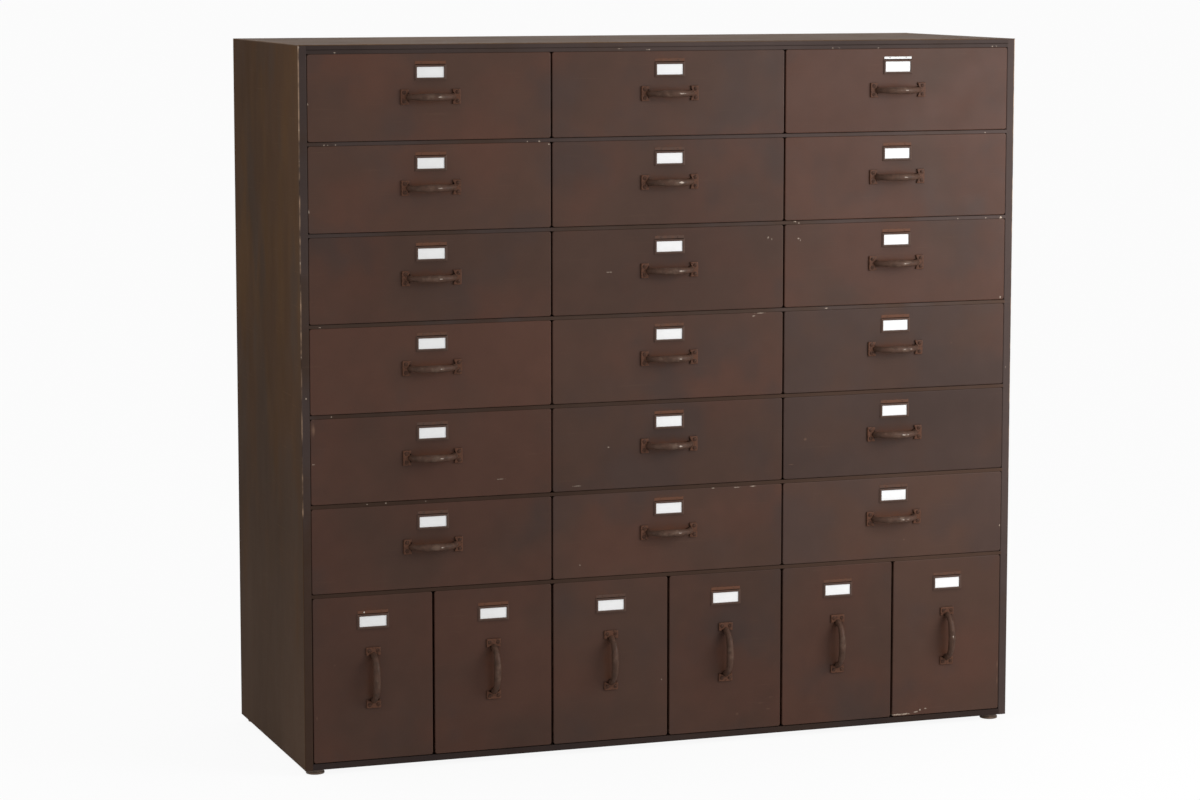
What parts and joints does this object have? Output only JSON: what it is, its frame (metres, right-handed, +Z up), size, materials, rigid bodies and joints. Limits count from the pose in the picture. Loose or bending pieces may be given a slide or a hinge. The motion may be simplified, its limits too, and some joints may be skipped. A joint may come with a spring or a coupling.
{
  "type": "drawer cabinet",
  "caption": "Free-standing sheet-iron cabinet with rows of wide shallow drawers over a row of tall narrow drawers, each with a label holder and a bow handle, on short round feet.",
  "frame": {"origin": "on the floor, under the middle of the whole cabinet with its handles", "axes": "+X along the width to the viewer's right, +Z up, the drawers open towards -Y"},
  "size_m": [1.36, 0.5116, 1.28],
  "materials": {
    "carcass_paint": "worn matt paint",
    "drawer_paint": "worn satin paint",
    "handle_iron": "rusted, rubbed bright on the grip",
    "foot_iron": "dark, worn"
  },
  "bodies": {
    "carcass": {"top_panel": "carcass_paint", "bottom_panel": "carcass_paint", "left_side_panel": "carcass_paint", "right_side_panel": "carcass_paint", "back_panel": "carcass_paint", "bay_partitions": "carcass_paint", "tall_partitions": "carcass_paint", "mid_shelves": "carcass_paint", "front_rails": "carcass_paint", "drawer_runners": "carcass_paint", "feet": "foot_iron", "foot_nuts": "foot_iron"},
    "drawer_body_r1_c1": {"drawer_r1_c1": "drawer_paint", "handle_r1_c1": "handle_iron"},
    "drawer_body_r1_c2": {"drawer_r1_c2": "drawer_paint", "handle_r1_c2": "handle_iron"},
    "drawer_body_r1_c3": {"drawer_r1_c3": "drawer_paint", "handle_r1_c3": "handle_iron"},
    "drawer_body_r2_c1": {"drawer_r2_c1": "drawer_paint", "handle_r2_c1": "handle_iron"},
    "drawer_body_r2_c2": {"drawer_r2_c2": "drawer_paint", "handle_r2_c2": "handle_iron"},
    "drawer_body_r2_c3": {"drawer_r2_c3": "drawer_paint", "handle_r2_c3": "handle_iron"},
    "drawer_body_r3_c1": {"drawer_r3_c1": "drawer_paint", "handle_r3_c1": "handle_iron"},
    "drawer_body_r3_c2": {"drawer_r3_c2": "drawer_paint", "handle_r3_c2": "handle_iron"},
    "drawer_body_r3_c3": {"drawer_r3_c3": "drawer_paint", "handle_r3_c3": "handle_iron"},
    "drawer_body_r4_c1": {"drawer_r4_c1": "drawer_paint", "handle_r4_c1": "handle_iron"},
    "drawer_body_r4_c2": {"drawer_r4_c2": "drawer_paint", "handle_r4_c2": "handle_iron"},
    "drawer_body_r4_c3": {"drawer_r4_c3": "drawer_paint", "handle_r4_c3": "handle_iron"},
    "drawer_body_r5_c1": {"drawer_r5_c1": "drawer_paint", "handle_r5_c1": "handle_iron"},
    "drawer_body_r5_c2": {"drawer_r5_c2": "drawer_paint", "handle_r5_c2": "handle_iron"},
    "drawer_body_r5_c3": {"drawer_r5_c3": "drawer_paint", "handle_r5_c3": "handle_iron"},
    "drawer_body_r6_c1": {"drawer_r6_c1": "drawer_paint", "handle_r6_c1": "handle_iron"},
    "drawer_body_r6_c2": {"drawer_r6_c2": "drawer_paint", "handle_r6_c2": "handle_iron"},
    "drawer_body_r6_c3": {"drawer_r6_c3": "drawer_paint", "handle_r6_c3": "handle_iron"},
    "drawer_body_tall_c1": {"drawer_tall_c1": "drawer_paint", "handle_tall_c1": "handle_iron"},
    "drawer_body_tall_c2": {"drawer_tall_c2": "drawer_paint", "handle_tall_c2": "handle_iron"},
    "drawer_body_tall_c3": {"drawer_tall_c3": "drawer_paint", "handle_tall_c3": "handle_iron"},
    "drawer_body_tall_c4": {"drawer_tall_c4": "drawer_paint", "handle_tall_c4": "handle_iron"},
    "drawer_body_tall_c5": {"drawer_tall_c5": "drawer_paint", "handle_tall_c5": "handle_iron"},
    "drawer_body_tall_c6": {"drawer_tall_c6": "drawer_paint", "handle_tall_c6": "handle_iron"}
  },
  "joints": [
    {"name": "slide_r1_c1", "type": "slide", "parent": "carcass", "child": "drawer_body_r1_c1", "axis": [0, -1, 0], "range_m": [0, 0.4]},
    {"name": "slide_r1_c2", "type": "slide", "parent": "carcass", "child": "drawer_body_r1_c2", "axis": [0, -1, 0], "range_m": [0, 0.4]},
    {"name": "slide_r1_c3", "type": "slide", "parent": "carcass", "child": "drawer_body_r1_c3", "axis": [0, -1, 0], "range_m": [0, 0.4]},
    {"name": "slide_r2_c1", "type": "slide", "parent": "carcass", "child": "drawer_body_r2_c1", "axis": [0, -1, 0], "range_m": [0, 0.4]},
    {"name": "slide_r2_c2", "type": "slide", "parent": "carcass", "child": "drawer_body_r2_c2", "axis": [0, -1, 0], "range_m": [0, 0.4]},
    {"name": "slide_r2_c3", "type": "slide", "parent": "carcass", "child": "drawer_body_r2_c3", "axis": [0, -1, 0], "range_m": [0, 0.4]},
    {"name": "slide_r3_c1", "type": "slide", "parent": "carcass", "child": "drawer_body_r3_c1", "axis": [0, -1, 0], "range_m": [0, 0.4]},
    {"name": "slide_r3_c2", "type": "slide", "parent": "carcass", "child": "drawer_body_r3_c2", "axis": [0, -1, 0], "range_m": [0, 0.4]},
    {"name": "slide_r3_c3", "type": "slide", "parent": "carcass", "child": "drawer_body_r3_c3", "axis": [0, -1, 0], "range_m": [0, 0.4]},
    {"name": "slide_r4_c1", "type": "slide", "parent": "carcass", "child": "drawer_body_r4_c1", "axis": [0, -1, 0], "range_m": [0, 0.4]},
    {"name": "slide_r4_c2", "type": "slide", "parent": "carcass", "child": "drawer_body_r4_c2", "axis": [0, -1, 0], "range_m": [0, 0.4]},
    {"name": "slide_r4_c3", "type": "slide", "parent": "carcass", "child": "drawer_body_r4_c3", "axis": [0, -1, 0], "range_m": [0, 0.4]},
    {"name": "slide_r5_c1", "type": "slide", "parent": "carcass", "child": "drawer_body_r5_c1", "axis": [0, -1, 0], "range_m": [0, 0.4]},
    {"name": "slide_r5_c2", "type": "slide", "parent": "carcass", "child": "drawer_body_r5_c2", "axis": [0, -1, 0], "range_m": [0, 0.4]},
    {"name": "slide_r5_c3", "type": "slide", "parent": "carcass", "child": "drawer_body_r5_c3", "axis": [0, -1, 0], "range_m": [0, 0.4]},
    {"name": "slide_r6_c1", "type": "slide", "parent": "carcass", "child": "drawer_body_r6_c1", "axis": [0, -1, 0], "range_m": [0, 0.4]},
    {"name": "slide_r6_c2", "type": "slide", "parent": "carcass", "child": "drawer_body_r6_c2", "axis": [0, -1, 0], "range_m": [0, 0.4]},
    {"name": "slide_r6_c3", "type": "slide", "parent": "carcass", "child": "drawer_body_r6_c3", "axis": [0, -1, 0], "range_m": [0, 0.4]},
    {"name": "slide_tall_c1", "type": "slide", "parent": "carcass", "child": "drawer_body_tall_c1", "axis": [0, -1, 0], "range_m": [0, 0.4]},
    {"name": "slide_tall_c2", "type": "slide", "parent": "carcass", "child": "drawer_body_tall_c2", "axis": [0, -1, 0], "range_m": [0, 0.4]},
    {"name": "slide_tall_c3", "type": "slide", "parent": "carcass", "child": "drawer_body_tall_c3", "axis": [0, -1, 0], "range_m": [0, 0.4]},
    {"name": "slide_tall_c4", "type": "slide", "parent": "carcass", "child": "drawer_body_tall_c4", "axis": [0, -1, 0], "range_m": [0, 0.4]},
    {"name": "slide_tall_c5", "type": "slide", "parent": "carcass", "child": "drawer_body_tall_c5", "axis": [0, -1, 0], "range_m": [0, 0.4]},
    {"name": "slide_tall_c6", "type": "slide", "parent": "carcass", "child": "drawer_body_tall_c6", "axis": [0, -1, 0], "range_m": [0, 0.4]}
  ]
}
